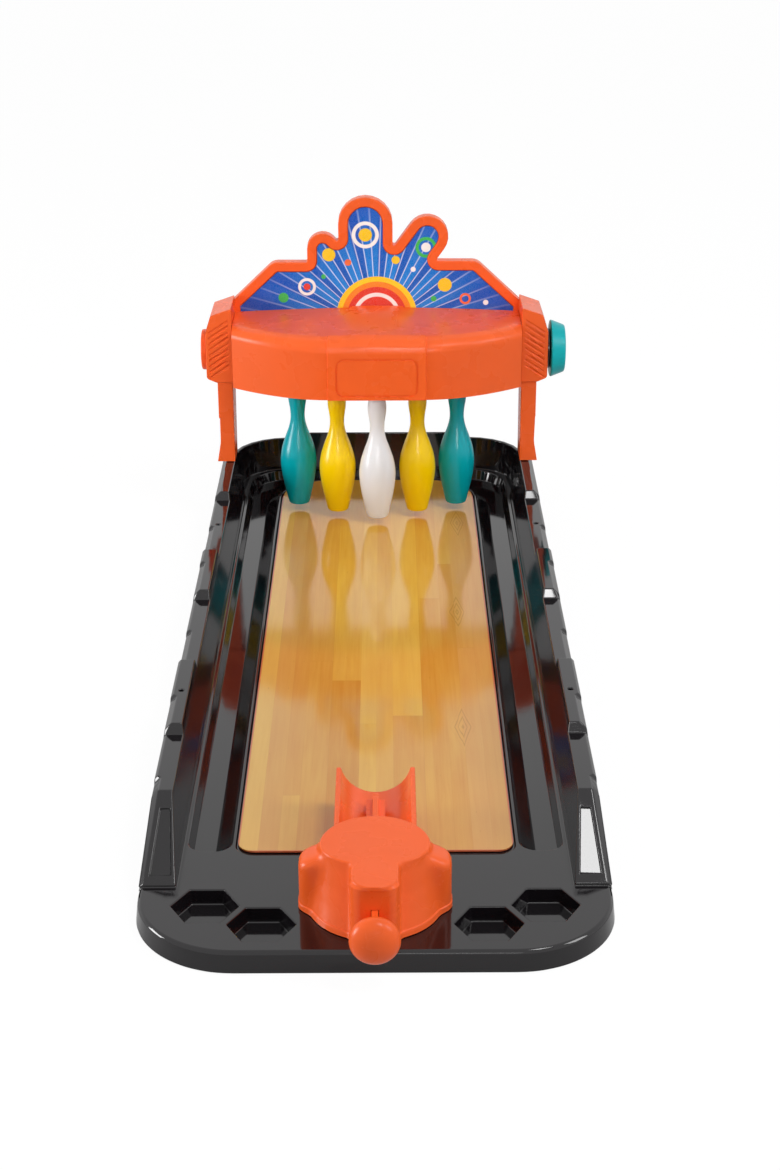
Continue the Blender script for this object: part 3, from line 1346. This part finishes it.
def make_cradle(shop, pivot):
    """The launcher's lower half: base and spindle, rod walls and the open trough."""
    low = SEAT_GAP
    base = rod("launcher_cradle", BASE_RADIUS, LUG_THICKNESS - low, ROUND_STEPS)
    moved(base, 0, 0, (LUG_THICKNESS + low) / 2)
    cradle = shop.piece("launcher_cradle", base, "orange")
    bore = SPINDLE_RADIUS
    spindle_length = DECK_THICKNESS + SEAT_GAP + LUG_THICKNESS / 2
    spindle = moved(rod("spindle", bore, spindle_length), 0, 0, LUG_THICKNESS / 2 - spindle_length / 2)
    lugs = []
    for side in (-1, 1):
        left, right = sorted((side * BASE_RADIUS * LUG_START_SHARE, side * EAR_REACH))
        outline = rectangle(left, EAR_FRONT, right, EAR_BACK, EAR_ROUND, EAR_ROUND)
        lugs.append(prism("lug", outline, low + SEAT_GAP / 2, LUG_THICKNESS + SEAT_GAP / 2))
    front_low = (-FRONT_WALL_HALF, FRONT_WALL_Y, LUG_THICKNESS / 2)
    front_high = (FRONT_WALL_HALF, FRONT_WALL_Y + CRADLE_WALL - SEAT_GAP, FRONT_WALL_TOP)
    front = box("front_wall", front_low, front_high)
    trough = trough_mesh()
    rear = standing(plate("rear_wall", [rear_wall_outline()], CRADLE_WALL))
    moved(rear, 0, REAR_WALL_Y + CRADLE_WALL / 2)
    pedestal_low = (-PEDESTAL_HALF_WIDTH, TROUGH_START, LUG_THICKNESS / 2)
    pedestal_high = (PEDESTAL_HALF_WIDTH, TROUGH_START + PEDESTAL_LENGTH, TROUGH_FLOOR - TROUGH_WALL / 2)
    pedestal = box("pedestal", pedestal_low, pedestal_high)
    base_low = (-SPOUT_HALF_WIDTH - 2 * SEAT_GAP, -2 * BASE_RADIUS, -LUG_THICKNESS)
    base_high = (SPOUT_HALF_WIDTH + 2 * SEAT_GAP, SPOUT_BACK + SEAT_GAP, LUG_THICKNESS * 2)
    base_front = box("base_front", base_low, base_high)
    rod_reach = sqrt(ROD_FIN_REACH**2 + (ROD_TALL_FIN / 2) ** 2) + RUNNING_GAP
    rod_bore = rod("rod_bore", rod_reach, 4 * REAR_WALL_Y, TURN_STEPS, "Y")
    moved(rod_bore, 0, 0, ROD_HEIGHT)
    entry_low = (-rod_reach * cos(pi / TURN_STEPS), -2 * REAR_WALL_Y, ROD_HEIGHT)
    entry = box("rod_entry", entry_low, (-entry_low[0], 2 * REAR_WALL_Y, LAUNCHER_TOP))
    pilot = rod("pilot", SCREW_RADIUS + SEAT_GAP, 2 * PIVOT_SCREW_LENGTH, BORE_STEPS)
    moved(pilot, 0, 0, -DECK_THICKNESS)
    holes = []
    for side in (-1, 1):
        place = (side * ear_screw_x(), (EAR_FRONT + EAR_BACK) / 2, 0)
        holes.append(moved(rod("screw_hole", SCREW_RADIUS + SEAT_GAP, 4 * LUG_THICKNESS, BORE_STEPS), *place))
        sink_depth = COVER_SCREW_HEAD_HEIGHT + 2 * SEAT_GAP
        sink = rod("screw_sink", COVER_SCREW_HEAD_RADIUS + SEAT_GAP, 2 * sink_depth, BORE_STEPS)
        holes.append(moved(sink, place[0], place[1], low))
    steps = (
        ("spindle", spindle, fuse),
        ("base_front", base_front, cut),
        ("cradle_lugs", joined("cradle_lugs", lugs), fuse),
        ("front_wall", front, fuse),
        ("pedestal", pedestal, fuse),
        ("trough", trough, fuse),
        ("rear_wall", rear, fuse),
        ("rod_bore", rod_bore, cut),
        ("rod_entry", entry, cut),
        ("pivot_pilot", pilot, cut),
        ("screw_holes", joined("screw_holes", holes[0::2]), cut),
        ("screw_sinks", joined("screw_sinks", holes[1::2]), cut),
    )
    for name, mesh, operation in steps:
        helper = shop.cutter(name, mesh)
        helper.parent = pivot
        operation(cradle, helper)
    cradle.parent = pivot


def half_pipe(radius, top):
    """Points of a half pipe seen along Y, from its left lip down and up to its right lip."""
    lip = TROUGH_AXIS_Z
    bottom = arc(0, lip, radius, radians(180), radians(360))
    return [(-radius, top), *[(x, z) for x, z in bottom if z < top], (radius, top)]


def trough_mesh():
    """The open trough, with its two rails along the top."""
    outer = half_pipe(TROUGH_OUTER_RADIUS, RAIL_TOP)
    inner = half_pipe(TROUGH_RADIUS, RAIL_TOP)
    mesh = standing(plate("trough", [outer + inner[::-1]], TROUGH_END - TROUGH_START))
    return moved(mesh, 0, (TROUGH_START + TROUGH_END) / 2)


def rear_wall_outline():
    """The wall across the trough that the rod passes through."""
    return half_pipe(TROUGH_RADIUS + TROUGH_WALL / 2, RAIL_TOP - 2 * SEAT_GAP)


def make_plunger(shop, guide):
    """The cross-shaped rod with its collar, its ball knob and its spring."""
    flat = (ROD_FIN_REACH, ROD_BACK, ROD_FLAT_FIN / 2)
    tall = (ROD_TALL_FIN / 2, ROD_BACK - SEAT_GAP, ROD_FIN_REACH)
    mesh = box("plunger_rod", (-flat[0], ROD_FRONT, -flat[2]), flat)
    tall_fin = box("tall_fin", (-tall[0], ROD_FRONT + SEAT_GAP, -tall[2]), tall)
    plunger = shop.piece("plunger_rod", mesh, "orange")
    collar_y = REAR_WALL_Y - SEAT_GAP - ROD_COLLAR_LENGTH / 2
    collar = moved(rod("rod_collar", ROD_COLLAR_RADIUS, ROD_COLLAR_LENGTH, TURN_STEPS, "Y"), 0, collar_y)
    spigot = rod("rod_spigot", ROD_SPIGOT_RADIUS, 2 * ROD_SPIGOT_LENGTH, BORE_STEPS, "Y")
    moved(spigot, 0, ROD_FRONT)
    for name, piece in (("tall_fin", tall_fin), ("rod_collar", collar), ("rod_spigot", spigot)):
        helper = shop.cutter(name, piece)
        helper.parent = guide
        fuse(plunger, helper)
    plunger.parent = guide
    make_ball_knob(shop, guide)
    make_spring(shop, guide)


def make_ball_knob(shop, guide):
    """The ball that the player pulls."""
    mesh = bpy.data.meshes.new("ball_knob")
    shape = bmesh.new()
    turn = Matrix.Rotation(radians(90), 4, "X")
    bmesh.ops.create_uvsphere(
        shape, u_segments=TURN_STEPS, v_segments=AXLE_STEPS, radius=BALL_KNOB_RADIUS, matrix=turn
    )
    shape.to_mesh(mesh)
    shape.free()
    ball = shop.piece("ball_knob", moved(mesh, 0, BALL_KNOB_Y), "orange")
    reach = ROD_FRONT - ROD_SPIGOT_LENGTH - SEAT_GAP
    bore = rod("ball_bore", ROD_SPIGOT_RADIUS + SEAT_GAP, BALL_KNOB_RADIUS * 2, BORE_STEPS, "Y")
    helper = shop.cutter("ball_bore", moved(bore, 0, reach + BALL_KNOB_RADIUS))
    helper.parent = guide
    cut(ball, helper)
    ball.parent = guide


def make_spring(shop, guide):
    """The coil between the front wall and the rod's collar."""
    first = FRONT_WALL_Y + CRADLE_WALL + SPRING_WIRE_RADIUS + SEAT_GAP
    last = REAR_WALL_Y - SEAT_GAP - ROD_COLLAR_LENGTH - SPRING_WIRE_RADIUS - SEAT_GAP
    count = SPRING_TURNS * SPRING_POINTS_PER_TURN
    curve = bpy.data.curves.new("plunger_spring", "CURVE")
    curve.dimensions = "3D"
    curve.bevel_depth = SPRING_WIRE_RADIUS
    curve.bevel_resolution = 0
    curve.use_fill_caps = True
    spline = curve.splines.new("POLY")
    spline.points.add(count)
    for index, point in enumerate(spline.points):
        turn = 2 * pi * index / SPRING_POINTS_PER_TURN
        along = first + (last - first) * index / count
        point.co = (SPRING_RADIUS * cos(turn), along, SPRING_RADIUS * sin(turn), 1)
    spring = shop.piece("plunger_spring", mesh_of_curve("plunger_spring", curve), "steel")
    spring.parent = guide


def make_screw(shop, name, head_radius, head_height, length, place, parent):
    """A screw that points up, with its head below."""
    profile = [
        (0, length),
        (SCREW_RADIUS, length - SCREW_RADIUS),
        (SCREW_RADIUS, 0),
        (head_radius, 0),
        (head_radius, -head_height),
        (0, -head_height),
    ]
    screw = turned(shop, name, profile, "steel", steps=BORE_STEPS)
    screw.location = place
    screw.parent = parent


def make_launcher_fixings(shop, pivot):
    """The washer and screw under the deck, and the two screws into the ears."""
    washer_top = -DECK_THICKNESS - 2 * SEAT_GAP
    washer_profile = [
        (SCREW_RADIUS + SEAT_GAP, washer_top),
        (WASHER_RADIUS, washer_top),
        (WASHER_RADIUS, washer_top - WASHER_THICKNESS),
        (SCREW_RADIUS + SEAT_GAP, washer_top - WASHER_THICKNESS),
    ]
    washer = turned(shop, "pivot_washer", washer_profile, "steel", closed=True)
    washer.parent = pivot
    under = washer_top - WASHER_THICKNESS - SEAT_GAP
    head = (SCREW_HEAD_RADIUS, SCREW_HEAD_HEIGHT)
    make_screw(shop, "pivot_screw", *head, PIVOT_SCREW_LENGTH, (0, 0, under), pivot)
    for name, side in (("cover_screw_left", -1), ("cover_screw_right", 1)):
        seat = SEAT_GAP + COVER_SCREW_HEAD_HEIGHT + SEAT_GAP
        place = (side * ear_screw_x(), (EAR_FRONT + EAR_BACK) / 2, seat)
        head = (COVER_SCREW_HEAD_RADIUS, COVER_SCREW_HEAD_HEIGHT)
        make_screw(shop, name, *head, COVER_SCREW_LENGTH - SCREW_RADIUS - SEAT_GAP, place, pivot)


def make_launcher(shop):
    """The swivelling launcher on its pivot, with its sliding plunger."""
    pivot = make_empty(shop, "launcher_pivot", PIVOT)
    guide = make_empty(shop, "plunger_guide", (0, 0, ROD_HEIGHT))
    guide.parent = pivot
    make_cradle(shop, pivot)
    make_launcher_cover(shop, pivot)
    make_plunger(shop, guide)
    make_launcher_fixings(shop, pivot)


def main():
    for obj in list(bpy.data.objects):
        bpy.data.objects.remove(obj)
    shop = Workshop()
    make_tray(shop)
    make_lane_sheet(shop)
    for side in (-1, 1):
        make_side_frame(shop, side)
    make_hood(shop)
    make_header_back(shop)
    make_backboard(shop)
    make_rack(shop)
    for name, finish, pivot in pin_places():
        make_pin(shop, name, finish, pivot)
    make_reset_shaft(shop)
    make_launcher(shop)


main()
